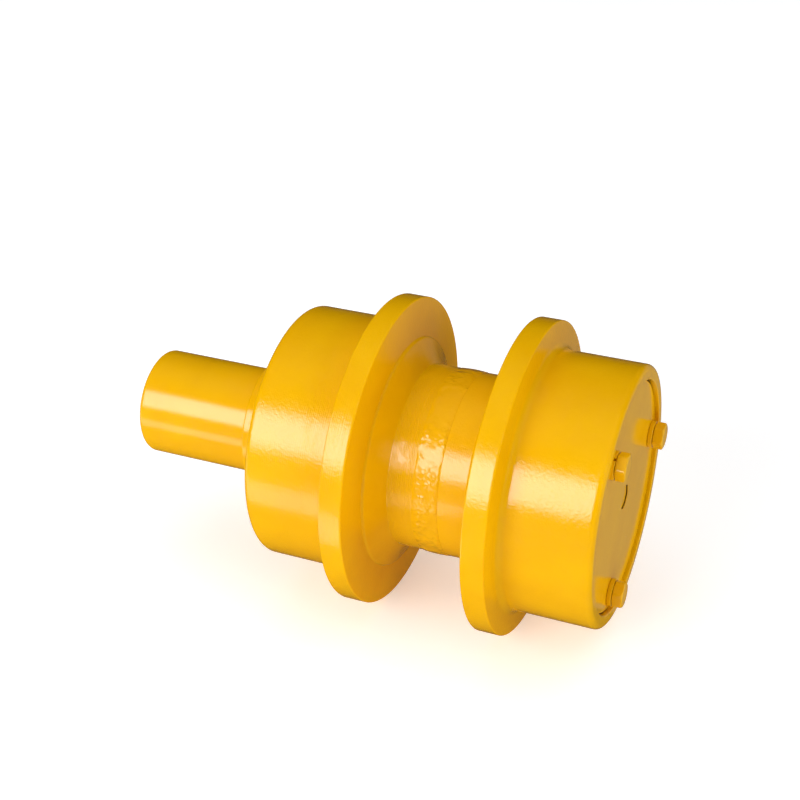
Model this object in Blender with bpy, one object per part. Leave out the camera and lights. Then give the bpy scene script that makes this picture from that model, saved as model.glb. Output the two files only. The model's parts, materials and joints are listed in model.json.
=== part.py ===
"""Cantilevered track carrier roller: a double-flanged shell that spins on a stub shaft.

The origin is the centre of the stub's end face. +Y runs along the spin axis to the outboard cover, +Z is up.
All sizes are in metres. Places along the axis inside the shell are distances from its middle plane.
"""

from math import asin, atan2, cos, pi, radians, sin, tan

import bmesh
import bpy
from mathutils import Matrix, Vector

# Fits
GAP = 0.0003  # between faces that touch in the real roller
RUNNING = 0.0012  # between faces that turn past each other
FACETS = 48

# Shell
TREAD_DIA = 0.190
TREAD_WIDTH = 0.0675
FLANGE_HEIGHT = 0.020
FLANGE_WIDTH = 0.017  # at the rim
FLANGE_DRAFT = 0.002  # how much the tread side of a flange leans out towards its root
INNER_DRAFT = 0.0029  # the same for the side that faces the waist, down to the shoulder
FLANGE_GAP = 0.086
EDGE_BEVEL = 0.0015
ROOT_FILLET = 0.004
WAIST_DEPTH = 0.027  # from the treads down to the waist
WAIST_WALL = 0.016
SHOULDER_RISE = 0.0185  # height of the hollow cone between waist and flange
SHOULDER_RUN = 0.0114
SHOULDER_SAG = 0.0015
END_ROUND = 0.004

# Weld that joins the two halves of the shell
WELD_WIDTH = 0.0185
WELD_ROOT_WIDTH = 0.005
WELD_DEPTH = 0.009
WELD_CROWN = 0.0006

# Shaft
STUB_DIA = 0.080
STUB_LENGTH = 0.093  # what the support bracket clamps
STUB_BEVEL = 0.002
OIL_SPACE = 0.016  # between the middle of the shaft and the shell
SHAFT_SHOULDER_LENGTH = 0.0075
THREAD_STEP = 0.0025
KEYWAY_DEPTH = 0.004  # stops the lock washer turning
KEYWAY_WIDTH = 0.006

# Stationary collar on the shaft, and the seal between it and the shell
COLLAR_WALL = 0.010
COLLAR_STANDOUT = 0.025
COLLAR_BEVEL = 0.0015
SLEEVE_WALL = 0.006
SLEEVE_CLEARANCE = 0.004
SEAL_RING_WALL = 0.004
SEAL_FACE_HEIGHT = 0.0085
SEAL_FACE_THICKNESS = 0.003
TORIC_THICKNESS = 0.0062
TORIC_ROOM = 0.0004  # at each side of the toric on its ring
SEAL_CUP_WALL = 0.004
SEAL_TAPER = 0.0015
SEAL_MOUTH = 0.0026  # from the sealing plane back to the lip of each cup
COLLAR_FLOOR = 0.004
COLLAR_LABYRINTH = 0.004
HOUSING_FLOOR = 0.0022
HOUSING_STEP = 0.005
SEAL_PLANE_DEPTH = 0.0175  # from the inboard end of the shell to the sealing plane
O_RING_THICKNESS = 0.0035
SNAP_RING_WIDTH = 0.0025
SNAP_RING_HEIGHT = 0.0040
SNAP_GROOVE_DEPTH = 0.0020
SNAP_RING_MOUTH = 24  # degrees left open

# Tapered roller bearings
BEARING_SECTION = 0.0275  # radial height, bore to outside
BEARING_WIDTH = 0.033
CUP_WIDTH = 0.027
BEARING_ANGLE = 13  # degrees between a roller's axis and the shaft
ROLLER_COUNT = 14
ROLLER_LENGTH = 0.021
RACE_WALL = 0.0053  # of the cup and of the cone, at the middle of a roller
ROLLER_FACETS = 12
RIB_BIG = 0.0045
RIB_SMALL = 0.0015
CAGE_THICKNESS = 0.0022
CAGE_RING = 0.0022
CAGE_CLEARANCE = 0.0005
CAGE_BAR = 0.003  # the least width left between two windows
HOUSING_CLEARANCE = 0.0019  # between the inboard bearing and the seal housing

# Nut and lock washer
LOCK_WASHER_THICKNESS = 0.002
LOCK_WASHER_HEIGHT = 0.011
LOCK_TABS = 8
LOCK_TAB_LENGTH = 0.0035
NUT_THICKNESS = 0.012
NUT_HEIGHT = 0.0125
NUT_SLOTS = 4
NUT_SLOT_WIDTH = 0.008
NUT_SLOT_DEPTH = 0.004
SHAFT_END_LENGTH = 0.0005  # past the nut
COVER_CLEARANCE = 0.0021  # between the end of the shaft and the cover

# Outboard cover
RIM_LIP = 0.0105
COVER_GAP = 0.001
COVER_THICKNESS = 0.012
COVER_RECESS = 0.003
COVER_BEVEL = 0.001
SPIGOT_LENGTH = 0.009
SPIGOT_WALL = 0.008
SPIGOT_ROOM = 0.0045  # between the bolts' shanks and the spigot
BOLT_COUNT = 3
BOLT_EDGE = 0.013  # from the cover's edge in to the bolt circle
BOLT_DIA = 0.012
BOLT_LENGTH = 0.030
BOLT_HEAD_HEIGHT = 0.0075
BOLT_HEAD_FLATS = 0.018
BOLT_CLEARANCE = 0.00075  # round a shank, in the cover
BOLT_HOLE_DEPTH = 0.022
BOLT_PHASE = 41.4  # degrees from straight up to the first bolt, turning towards +X
WASHER_DIA = 0.0205
WASHER_THICKNESS = 0.003
WASHER_SPLIT = 14  # degrees left open
PLUG_DIA = 0.0172
PLUG_LENGTH = 0.010
PLUG_SINK = 0.001  # from the cover's face down to the plug

# Worked out from the sizes above
tread_r = TREAD_DIA / 2
flange_r = tread_r + FLANGE_HEIGHT
waist_r = tread_r - WAIST_DEPTH
cavity_r = waist_r - WAIST_WALL
half_length = FLANGE_GAP / 2 + FLANGE_WIDTH + TREAD_WIDTH

cover_bore_r = tread_r - RIM_LIP
cover_r = cover_bore_r - COVER_GAP
cover_face = half_length - COVER_RECESS
cover_back = cover_face - COVER_THICKNESS
cover_seat = cover_back - GAP
bolt_circle_r = cover_r - BOLT_EDGE

stub_r = STUB_DIA / 2
collar_r = stub_r + COLLAR_WALL
sleeve_r = stub_r + SLEEVE_WALL
seal_ring_r = sleeve_r + SLEEVE_CLEARANCE
toric_r = seal_ring_r + SEAL_RING_WALL + TORIC_THICKNESS / 2
seal_cup_r = toric_r + TORIC_THICKNESS / 2 + GAP
seal_flange_r = seal_cup_r + SEAL_TAPER + SEAL_CUP_WALL
seal_bore_r = seal_flange_r + COLLAR_LABYRINTH
seal_plane = half_length - SEAL_PLANE_DEPTH
seal_ring_length = SEAL_FACE_THICKNESS + TORIC_THICKNESS + TORIC_ROOM * 2
collar_face = half_length + COLLAR_STANDOUT
housing_floor = seal_plane - seal_ring_length - GAP * 2
housing_back = housing_floor - HOUSING_FLOOR
snap_groove = seal_plane - SEAL_MOUTH + GAP
inboard_cone_back = housing_back - HOUSING_CLEARANCE
inboard_cup_back = inboard_cone_back - BEARING_WIDTH - GAP
shoulder_end = inboard_cone_back + GAP + SHAFT_SHOULDER_LENGTH

inboard_cup_r = seal_bore_r - HOUSING_STEP
inboard_journal_r = inboard_cup_r - BEARING_SECTION
outboard_cup_r = bolt_circle_r - BOLT_DIA / 2 - SPIGOT_ROOM
outboard_journal_r = outboard_cup_r - BEARING_SECTION
shaft_middle_r = cavity_r - OIL_SPACE
thread_r = outboard_journal_r - THREAD_STEP

shaft_end = cover_back - COVER_CLEARANCE
nut_seat = shaft_end - SHAFT_END_LENGTH - NUT_THICKNESS
lock_washer_seat = nut_seat - GAP - LOCK_WASHER_THICKNESS
outboard_cone_back = lock_washer_seat - GAP
outboard_cup_back = outboard_cone_back - BEARING_WIDTH - GAP

roller_centre = STUB_LENGTH + collar_face  # middle of the shell, measured from the stub's end face
TURN = 2 * pi


def clear_scene():
    for old in list(bpy.data.objects):
        bpy.data.objects.remove(old)


def finish(name, red, green, blue, roughness, metallic):
    """A Principled material in linear colour."""
    made = bpy.data.materials.new(name)
    made.use_nodes = True
    shader = made.node_tree.nodes["Principled BSDF"]
    shader.inputs["Base Color"].default_value = (red, green, blue, 1)
    shader.inputs["Roughness"].default_value = roughness
    shader.inputs["Metallic"].default_value = metallic
    return made


def pivot(name, along, parent=None):
    """An empty on the spin axis, this far from its parent's origin."""
    made = bpy.data.objects.new(name, None)
    made.location = (0, along, 0)
    made.parent = parent
    bpy.context.scene.collection.objects.link(made)
    return made


def add(name, bm, parent, material, place=None):
    """Turns the bmesh into an object of that name under parent."""
    bmesh.ops.recalc_face_normals(bm, faces=bm.faces)
    mesh = bpy.data.meshes.new(name)
    bm.to_mesh(mesh)
    bm.free()
    mesh.shade_smooth()
    mesh.set_sharp_from_angle(angle=radians(35))
    mesh.materials.append(material)
    made = bpy.data.objects.new(name, mesh)
    bpy.context.scene.collection.objects.link(made)
    made.parent = parent
    if place is not None:
        made.matrix_local = place
    return made


def cut(target, bm, operation="DIFFERENCE"):
    """Cuts the bmesh out of target, or joins it on with UNION. Both are in target's own coordinates."""
    bmesh.ops.recalc_face_normals(bm, faces=bm.faces)
    mesh = bpy.data.meshes.new(target.name + "_tool")
    bm.to_mesh(mesh)
    bm.free()
    tool = bpy.data.objects.new(mesh.name, mesh)
    tool.hide_render = True
    tool.display_type = "WIRE"
    bpy.context.scene.collection.objects.link(tool)
    tool.parent = target
    step = target.modifiers.new(operation.lower(), "BOOLEAN")
    step.operation = operation
    step.solver = "EXACT"
    step.object = tool


def turned(profile, steps=FACETS, sweep=TURN):
    """A bmesh turned about Y from (along, radius) points: a bar if they start at radius 0, else a ring."""
    bm = bmesh.new()
    points = [bm.verts.new((radius, along, 0)) for along, radius in profile]
    pairs = list(zip(points, points[1:]))
    if profile[0][1] > 0:
        pairs.append((points[-1], points[0]))
    edges = [bm.edges.new(pair) for pair in pairs]
    bmesh.ops.spin(bm, geom=points + edges, axis=(0, 1, 0), cent=(0, 0, 0),
                   angle=sweep, steps=steps, use_merge=sweep == TURN)
    bmesh.ops.remove_doubles(bm, verts=bm.verts, dist=1e-7)
    if sweep != TURN:
        bmesh.ops.holes_fill(bm, edges=[e for e in bm.edges if e.is_boundary])
    return bm


def box(low, high, place=None):
    """A bmesh box between two corners."""
    size = Vector(high) - Vector(low)
    middle = (Vector(high) + Vector(low)) / 2
    bm = bmesh.new()
    bmesh.ops.create_cube(bm, size=1, matrix=Matrix.Translation(middle) @ Matrix.Diagonal((*size, 1)))
    if place is not None:
        bmesh.ops.transform(bm, matrix=place, verts=bm.verts)
    return bm


def prism(radius, low, high, sides, place=None):
    """A bmesh prism along Y, with its corners at radius."""
    bm = bmesh.new()
    along = Matrix.Translation((0, (low + high) / 2, 0)) @ Matrix.Rotation(radians(-90), 4, "X")
    bmesh.ops.create_cone(bm, cap_ends=True, segments=sides, radius1=radius, radius2=radius,
                          depth=high - low, matrix=along)
    if place is not None:
        bmesh.ops.transform(bm, matrix=place, verts=bm.verts)
    return bm


def together(parts):
    """One bmesh that holds several separate ones."""
    whole = bmesh.new()
    for part in parts:
        mesh = bpy.data.meshes.new("piece")
        part.to_mesh(mesh)
        part.free()
        whole.from_mesh(mesh)
        bpy.data.meshes.remove(mesh)
    return whole


def round_about_y(degrees):
    """Turns by this angle about Y, from +Z towards +X."""
    return Matrix.Rotation(radians(degrees), 4, "Y")


def arc(centre, radius, start, end, count):
    """Points on an arc, with angles in degrees from the along direction towards the radius direction."""
    angles = [radians(start + (end - start) * step / count) for step in range(count + 1)]
    return [(centre[0] + radius * cos(a), centre[1] + radius * sin(a)) for a in angles]


def bowed(start, end, sag, count):
    """Points from start to end, bowed sideways by sag in the middle, to the left of the way along."""
    (a, b), (c, d) = start, end
    length = ((c - a) ** 2 + (d - b) ** 2) ** 0.5
    points = []
    for step in range(count + 1):
        share = step / count
        off = 4 * sag * share * (1 - share) / length
        points.append((a + (c - a) * share - off * (d - b), b + (d - b) * share + off * (c - a)))
    return points


def circle_section(along, radius, thickness, count=8):
    """A round cross-section, for an O-ring."""
    return arc((along, radius), thickness / 2, 0, 360, count)[:-1]


def flipped(profile):
    """The profile seen from the other end: inboard pieces run towards -Y."""
    return [(-along, radius) for along, radius in profile]


# Shell: two forged halves and the weld between them

def half_outside():
    """From the root of the weld groove out to the end face, for either half."""
    inner_face = FLANGE_GAP / 2
    rim_end = inner_face + FLANGE_WIDTH
    root = rim_end + FLANGE_DRAFT
    shoulder_top = (inner_face - INNER_DRAFT, waist_r + SHOULDER_RISE)
    shoulder_foot = (shoulder_top[0] - SHOULDER_RUN, waist_r)
    points = [
        (GAP / 2, waist_r - WELD_DEPTH),
        (WELD_ROOT_WIDTH / 2, waist_r - WELD_DEPTH),
        (WELD_WIDTH / 2, waist_r),
    ]
    points += bowed(shoulder_foot, shoulder_top, -SHOULDER_SAG, 4)
    points += [
        (inner_face, flange_r - EDGE_BEVEL),
        (inner_face + EDGE_BEVEL, flange_r),
        (rim_end - EDGE_BEVEL, flange_r),
        (rim_end, flange_r - EDGE_BEVEL),
    ]
    points += arc((root + ROOT_FILLET, tread_r + ROOT_FILLET), ROOT_FILLET, 180, 270, 2)
    points += arc((half_length - END_ROUND, tread_r - END_ROUND), END_ROUND, 90, 0, 2)
    return points


def bolt_places():
    """Where each cover bolt stands: a turn about Y."""
    return [round_about_y(BOLT_PHASE + 360 * n / BOLT_COUNT) for n in range(BOLT_COUNT)]


def make_outboard_half(parent, paint):
    inside = [
        (half_length, cover_bore_r + COVER_BEVEL),
        (half_length - COVER_BEVEL, cover_bore_r),
        (cover_seat, cover_bore_r),
        (cover_seat, outboard_cup_r + GAP),
        (outboard_cup_back, outboard_cup_r + GAP),
        (outboard_cup_back, cavity_r),
        (GAP / 2, cavity_r),
    ]
    half = add("outboard_shell_half", turned(half_outside() + inside), parent, paint)
    out = Matrix.Translation((0, 0, bolt_circle_r))
    holes = [
        prism(BOLT_DIA / 2 + GAP, cover_seat - BOLT_HOLE_DEPTH, cover_seat + GAP * 4, 12, turn @ out)
        for turn in bolt_places()
    ]
    cut(half, together(holes))


def make_inboard_half(parent, paint):
    inside = [
        (half_length, seal_bore_r + COLLAR_BEVEL),
        (half_length - COLLAR_BEVEL, seal_bore_r),
        (snap_groove + SNAP_RING_WIDTH + GAP, seal_bore_r),
        (snap_groove + SNAP_RING_WIDTH + GAP, seal_bore_r + SNAP_GROOVE_DEPTH),
        (snap_groove - GAP, seal_bore_r + SNAP_GROOVE_DEPTH),
        (snap_groove - GAP, seal_bore_r),
        (housing_back - GAP, seal_bore_r),
        (housing_back - GAP, inboard_cup_r + GAP),
        (inboard_cup_back, inboard_cup_r + GAP),
        (inboard_cup_back, cavity_r),
        (GAP / 2, cavity_r),
    ]
    add("inboard_shell_half", turned(flipped(half_outside() + inside)), parent, paint)


def make_weld(parent, paint):
    half_top = WELD_WIDTH / 2 - GAP
    half_root = WELD_ROOT_WIDTH / 2 - GAP
    root_r = waist_r - WELD_DEPTH + GAP
    top = bowed((-half_top, waist_r), (half_top, waist_r), WELD_CROWN, 4)
    add("weld_bead", turned([(-half_root, root_r)] + top + [(half_root, root_r)]), parent, paint)


# Shaft and what is fixed to it

def make_shaft(parent, paint):
    """A stepped bar from the stub's end face to the threaded end inside the cover."""
    profile = [
        (0, 0),
        (0, stub_r - STUB_BEVEL),
        (STUB_BEVEL, stub_r),
        (roller_centre - shoulder_end, stub_r),
        (roller_centre - shoulder_end, sleeve_r),
        (roller_centre - inboard_cone_back - GAP, sleeve_r),
        (roller_centre - inboard_cone_back - GAP, inboard_journal_r),
        (roller_centre - inboard_cup_back, inboard_journal_r),
        (roller_centre - inboard_cup_back + abs(inboard_journal_r - shaft_middle_r), shaft_middle_r),
        (roller_centre + outboard_cup_back - abs(outboard_journal_r - shaft_middle_r), shaft_middle_r),
        (roller_centre + outboard_cup_back, outboard_journal_r),
        (roller_centre + outboard_cone_back, outboard_journal_r),
        (roller_centre + outboard_cone_back, thread_r),
        (roller_centre + shaft_end - STUB_BEVEL / 2, thread_r),
        (roller_centre + shaft_end, thread_r - STUB_BEVEL / 2),
        (roller_centre + shaft_end, 0),
    ]
    shaft = add("shaft", turned(profile), parent, paint)
    keyway = box(
        (-KEYWAY_WIDTH / 2, roller_centre + outboard_cone_back + GAP, thread_r - KEYWAY_DEPTH),
        (KEYWAY_WIDTH / 2, roller_centre + shaft_end + KEYWAY_DEPTH, thread_r + KEYWAY_DEPTH),
    )
    cut(shaft, keyway)


def make_collar(parent, paint):
    """Pressed on the shaft against its shoulder. Its cup holds the stationary half of the seal."""
    cup_floor = seal_plane + seal_ring_length + GAP * 3
    back = cup_floor + COLLAR_FLOOR
    lip = seal_plane + SEAL_MOUTH
    groove = half_length + COLLAR_STANDOUT / 2
    bore = stub_r + GAP
    profile = [
        (collar_face, bore),
        (collar_face, collar_r - COLLAR_BEVEL),
        (collar_face - COLLAR_BEVEL, collar_r),
        (back + COLLAR_BEVEL, collar_r),
        (back, seal_flange_r),
        (lip, seal_flange_r),
        (lip, seal_cup_r + SEAL_TAPER),
        (cup_floor, seal_cup_r),
        (cup_floor, sleeve_r),
        (shoulder_end + GAP, sleeve_r),
        (shoulder_end + GAP, bore),
        (groove - O_RING_THICKNESS / 2 - GAP, bore),
        (groove - O_RING_THICKNESS / 2 - GAP, stub_r + O_RING_THICKNESS + GAP * 2),
        (groove + O_RING_THICKNESS / 2 + GAP, stub_r + O_RING_THICKNESS + GAP * 2),
        (groove + O_RING_THICKNESS / 2 + GAP, bore),
    ]
    add("seal_collar", turned(flipped(profile)), parent, paint)


def make_o_ring(name, along, inner_r, parent, rubber):
    """inner_r is the radius that the ring is stretched over."""
    middle = inner_r + GAP + O_RING_THICKNESS / 2
    add(name, turned(circle_section(along, middle, O_RING_THICKNESS, 6)), parent, rubber)


# Floating seal: two lapped metal rings, each pressed to the other by a rubber toric

def seal_ring_profile():
    """A ring whose sealing face is at 0 and whose body runs towards positive."""
    face = GAP / 2
    return [
        (face, seal_ring_r),
        (face, seal_ring_r + SEAL_FACE_HEIGHT),
        (face + SEAL_FACE_THICKNESS, seal_ring_r + SEAL_FACE_HEIGHT),
        (face + SEAL_FACE_THICKNESS, seal_ring_r + SEAL_RING_WALL - GAP),
        (seal_ring_length, seal_ring_r + SEAL_RING_WALL - GAP - SEAL_TAPER),
        (seal_ring_length, seal_ring_r),
    ]


def toric_profile():
    along = (SEAL_FACE_THICKNESS + seal_ring_length) / 2
    return circle_section(along, toric_r, TORIC_THICKNESS - GAP)


def make_seal(kind, parent, direction, steel, rubber):
    """direction is 1 for the half that runs towards +Y from the sealing plane."""
    place = Matrix.Translation((0, -seal_plane, 0))
    for name, profile, material in (
        (kind + "_seal_ring", seal_ring_profile(), steel),
        (kind + "_toric", toric_profile(), rubber),
    ):
        shape = profile if direction > 0 else flipped(profile)
        add(name, turned(shape), parent, material, place)


def make_seal_housing(parent, steel):
    """Pressed into the shell. It holds the half of the seal that turns."""
    lip = seal_plane - SEAL_MOUTH
    outside = seal_bore_r - GAP
    groove = (housing_back + lip) / 2
    groove_r = outside - O_RING_THICKNESS + GAP
    profile = [
        (housing_back, sleeve_r + SLEEVE_CLEARANCE / 2 + RUNNING),
        (housing_floor, sleeve_r + SLEEVE_CLEARANCE / 2 + RUNNING),
        (housing_floor, seal_cup_r),
        (lip, seal_cup_r + SEAL_TAPER),
        (lip, outside),
        (groove + O_RING_THICKNESS / 2 + GAP, outside),
        (groove + O_RING_THICKNESS / 2 + GAP, groove_r - GAP),
        (groove - O_RING_THICKNESS / 2 - GAP, groove_r - GAP),
        (groove - O_RING_THICKNESS / 2 - GAP, outside),
        (housing_back, outside),
    ]
    add("seal_housing", turned(flipped(profile)), parent, steel)
    return groove, groove_r


def make_snap_ring(parent, steel):
    """Sprung into its groove, in front of the seal housing."""
    outer = seal_bore_r + SNAP_GROOVE_DEPTH - GAP
    profile = [
        (snap_groove, outer - SNAP_RING_HEIGHT),
        (snap_groove + SNAP_RING_WIDTH, outer - SNAP_RING_HEIGHT),
        (snap_groove + SNAP_RING_WIDTH, outer),
        (snap_groove, outer),
    ]
    ring = turned(flipped(profile), FACETS - 3, TURN - radians(SNAP_RING_MOUTH))
    add("housing_snap_ring", ring, parent, steel)


# Tapered roller bearings. Each is drawn from the back of its cup at 0, with the big ends towards positive

class Bearing:
    """Raceways and rollers are cones with one apex on the shaft's axis, so that the rollers roll truly."""

    def __init__(self, cup_r):
        self.cup_r = cup_r
        self.bore_r = cup_r - BEARING_SECTION
        self.pitch_r = (self.cup_r + self.bore_r) / 2
        between_races = BEARING_SECTION / 2 - RACE_WALL
        between_bars = self.pitch_r * sin(pi / ROLLER_COUNT) - CAGE_CLEARANCE - CAGE_BAR / 2
        self.roller_r = min(between_races, between_bars)
        self.axis_angle = radians(BEARING_ANGLE)
        self.apex_distance = self.pitch_r / sin(self.axis_angle)
        self.roller_angle = atan2(self.roller_r, self.apex_distance)
        self.middle = BEARING_WIDTH / 2 + GAP
        self.along = Vector((cos(self.axis_angle), sin(self.axis_angle)))
        self.across = Vector((-sin(self.axis_angle), cos(self.axis_angle)))

    def at(self, along, across):
        """An (along, radius) point, from the middle of a roller, along its axis and across it."""
        point = Vector((self.middle, self.pitch_r)) + self.along * along + self.across * across
        return point.x, point.y

    def roller_radius(self, along):
        """A roller's radius at this distance from its middle."""
        return self.roller_r + along * tan(self.roller_angle)

    def spin_ratios(self):
        """Turns of the cage, and of a roller in the cage, for one turn of the cup round a still cone."""
        cup = sin(self.axis_angle + self.roller_angle)
        cone = sin(self.axis_angle - self.roller_angle)
        cage = cup / (cup + cone)
        return cage, cage * cone / sin(self.roller_angle)


def make_cup(name, bearing, parent, place, steel):
    reach = ROLLER_LENGTH
    near = Vector(bearing.at(-reach, bearing.roller_radius(-reach) + GAP))
    far = Vector(bearing.at(reach, bearing.roller_radius(reach) + GAP))
    slope = (far.y - near.y) / (far.x - near.x)
    profile = [
        (GAP, bearing.cup_r),
        (GAP, near.y + slope * (GAP - near.x)),
        (CUP_WIDTH, near.y + slope * (CUP_WIDTH - near.x)),
        (CUP_WIDTH, bearing.cup_r),
    ]
    add(name, turned(profile), parent, steel, place)


def make_cone(name, bearing, parent, place, steel):
    small, big = -ROLLER_LENGTH / 2 - GAP, ROLLER_LENGTH / 2 + GAP
    small_foot = -bearing.roller_radius(small) - GAP
    big_foot = -bearing.roller_radius(big) - GAP
    small_rib = bearing.at(small, small_foot + RIB_SMALL)
    big_rib = bearing.at(big, big_foot + RIB_BIG)
    bore = bearing.bore_r + GAP
    profile = [
        (GAP * 2, bore),
        (GAP * 2, small_rib[1]),
        small_rib,
        bearing.at(small, small_foot),
        bearing.at(big, big_foot),
        big_rib,
        (BEARING_WIDTH, big_rib[1]),
        (BEARING_WIDTH, bore),
    ]
    add(name, turned(profile), parent, steel, place)


def make_cage(name, bearing, parent, place, steel):
    """A conical sheet with a window for each roller, given its thickness by Solidify."""
    half_window = asin((bearing.roller_r + CAGE_CLEARANCE) / bearing.pitch_r)
    pitch = TURN / ROLLER_COUNT
    window = ROLLER_LENGTH / 2 + CAGE_CLEARANCE
    rows = [bearing.at(along, 0) for along in (-window - CAGE_RING, -window, window, window + CAGE_RING)]
    turns = []
    for n in range(ROLLER_COUNT):
        turns += [(n * pitch + share * half_window, share < 1) for share in (-1, 0, 1)]
    bm = bmesh.new()
    grid = [[bm.verts.new((r * sin(a), y, r * cos(a))) for a, _ in turns] for y, r in rows]
    for row in range(3):
        for column, (_, is_window) in enumerate(turns):
            if row == 1 and is_window:
                continue
            after = (column + 1) % len(turns)
            bm.faces.new((grid[row][column], grid[row][after], grid[row + 1][after], grid[row + 1][column]))
    cage = add(name, bm, parent, steel, place)
    sheet = cage.modifiers.new("thickness", "SOLIDIFY")
    sheet.thickness = CAGE_THICKNESS
    sheet.offset = 0
    sheet.use_even_offset = True


def make_rollers(prefix, bearing, parent, place, steel):
    """Each roller's origin is its own middle, with its local Y on its own axis."""
    half = ROLLER_LENGTH / 2
    profile = [
        (-half, 0),
        (-half, bearing.roller_radius(-half)),
        (half, bearing.roller_radius(half)),
        (half, 0),
    ]
    tilt = Matrix.Rotation(bearing.axis_angle, 4, "X")
    stand = Matrix.Translation((0, bearing.middle, bearing.pitch_r)) @ tilt
    for n in range(ROLLER_COUNT):
        here = place @ round_about_y(360 * n / ROLLER_COUNT) @ stand
        add(f"{prefix}_roller_{n + 1:02d}", turned(profile, ROLLER_FACETS), parent, steel, here)


# Nut and lock washer on the shaft's threaded end

def make_lock_washer(parent, steel):
    """A ring with outer tabs, one of them bent into a slot of the nut, and an inner tongue in the keyway."""
    start, end = lock_washer_seat, lock_washer_seat + LOCK_WASHER_THICKNESS
    inner, outer = thread_r + GAP, thread_r + LOCK_WASHER_HEIGHT
    ring = turned([(start, inner), (start, outer), (end, outer), (end, inner)])
    washer = add("lock_washer", ring, parent, steel)
    half = NUT_SLOT_WIDTH / 2 - GAP * 2
    tip = thread_r + NUT_HEIGHT + LOCK_TAB_LENGTH
    flat = box((-half, start, outer - GAP * 4), (half, end, tip))
    tabs = [box((-half, start, outer - GAP * 4), (half, end, tip), round_about_y(360 * n / LOCK_TABS))
            for n in range(1, LOCK_TABS)]
    cut(washer, together([flat] + tabs), "UNION")
    slot_floor = thread_r + NUT_HEIGHT - NUT_SLOT_DEPTH
    bent_top = slot_floor + GAP + LOCK_WASHER_THICKNESS
    bent = box((-half + GAP, start + GAP, slot_floor + GAP), (half - GAP, end + NUT_THICKNESS / 2, bent_top))
    cut(washer, bent, "UNION")
    tongue_half = KEYWAY_WIDTH / 2 - GAP
    tongue_tip = thread_r - KEYWAY_DEPTH + GAP
    tongue = box((-tongue_half, start + GAP, tongue_tip), (tongue_half, end - GAP, inner + GAP * 4))
    cut(washer, tongue, "UNION")


def make_nut(parent, steel):
    start, end = nut_seat, nut_seat + NUT_THICKNESS
    inner, outer = thread_r + GAP, thread_r + NUT_HEIGHT
    bevel = STUB_BEVEL / 2
    profile = [(start, inner), (start, outer), (end - bevel, outer), (end, outer - bevel), (end, inner)]
    nut = add("bearing_nut", turned(profile), parent, steel)
    half = NUT_SLOT_WIDTH / 2
    slots = [box((-half, start - bevel, outer - NUT_SLOT_DEPTH), (half, end + bevel, outer + bevel),
                 round_about_y(360 * n / NUT_SLOTS)) for n in range(NUT_SLOTS)]
    cut(nut, together(slots))


# Outboard cover, its bolts and its filler plug

def make_cover(parent, paint):
    """A disc that sits in the shell's end, with a spigot that carries the O-ring."""
    spigot_r = outboard_cup_r
    tip = cover_back - SPIGOT_LENGTH
    groove = cover_back - SPIGOT_LENGTH / 2
    groove_r = spigot_r - O_RING_THICKNESS + GAP
    profile = [
        (cover_face, 0),
        (cover_face, cover_r - COVER_BEVEL),
        (cover_face - COVER_BEVEL, cover_r),
        (cover_back, cover_r),
        (cover_back, spigot_r),
        (groove + O_RING_THICKNESS / 2 + GAP, spigot_r),
        (groove + O_RING_THICKNESS / 2 + GAP, groove_r - GAP),
        (groove - O_RING_THICKNESS / 2 - GAP, groove_r - GAP),
        (groove - O_RING_THICKNESS / 2 - GAP, spigot_r),
        (tip, spigot_r),
        (tip, spigot_r - SPIGOT_WALL),
        (cover_back, spigot_r - SPIGOT_WALL),
        (cover_back, 0),
    ]
    cover = add("end_cover", turned(profile), parent, paint)
    out = Matrix.Translation((0, 0, bolt_circle_r))
    low, high = cover_back - GAP * 4, cover_face + GAP * 4
    holes = [prism(BOLT_DIA / 2 + BOLT_CLEARANCE, low, high, 16, turn @ out) for turn in bolt_places()]
    holes.append(prism(PLUG_DIA / 2 + GAP, low, high, 24))
    cut(cover, together(holes))
    return groove, groove_r


def make_bolt(number, turn, parent, paint):
    """A hexagon-head bolt on its spring washer. Its origin is on the bolt's own axis, at the cover's face."""
    place = turn @ Matrix.Translation((0, cover_face, bolt_circle_r))
    seat = WASHER_THICKNESS + GAP * 2
    head_r = BOLT_HEAD_FLATS / 2 / cos(radians(30))
    bolt = add(f"cover_bolt_{number}", prism(head_r, seat, seat + BOLT_HEAD_HEIGHT, 6), parent, paint, place)
    cut(bolt, prism(BOLT_DIA / 2, seat - BOLT_LENGTH, seat + GAP * 4, 12), "UNION")
    inner, outer = BOLT_DIA / 2 + GAP * 2, WASHER_DIA / 2
    low, high = GAP, GAP + WASHER_THICKNESS
    section = [(low, inner), (high, inner), (high, outer), (low, outer)]
    ring = turned(section, 20, TURN - radians(WASHER_SPLIT))
    add(f"cover_spring_washer_{number}", ring, parent, paint, place)


def make_plug(parent, paint):
    """A plain plug pressed into the middle of the cover, a little below its face."""
    face = cover_face - PLUG_SINK
    add("filler_plug", prism(PLUG_DIA / 2, face - PLUG_LENGTH, face, 24), parent, paint)


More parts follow.
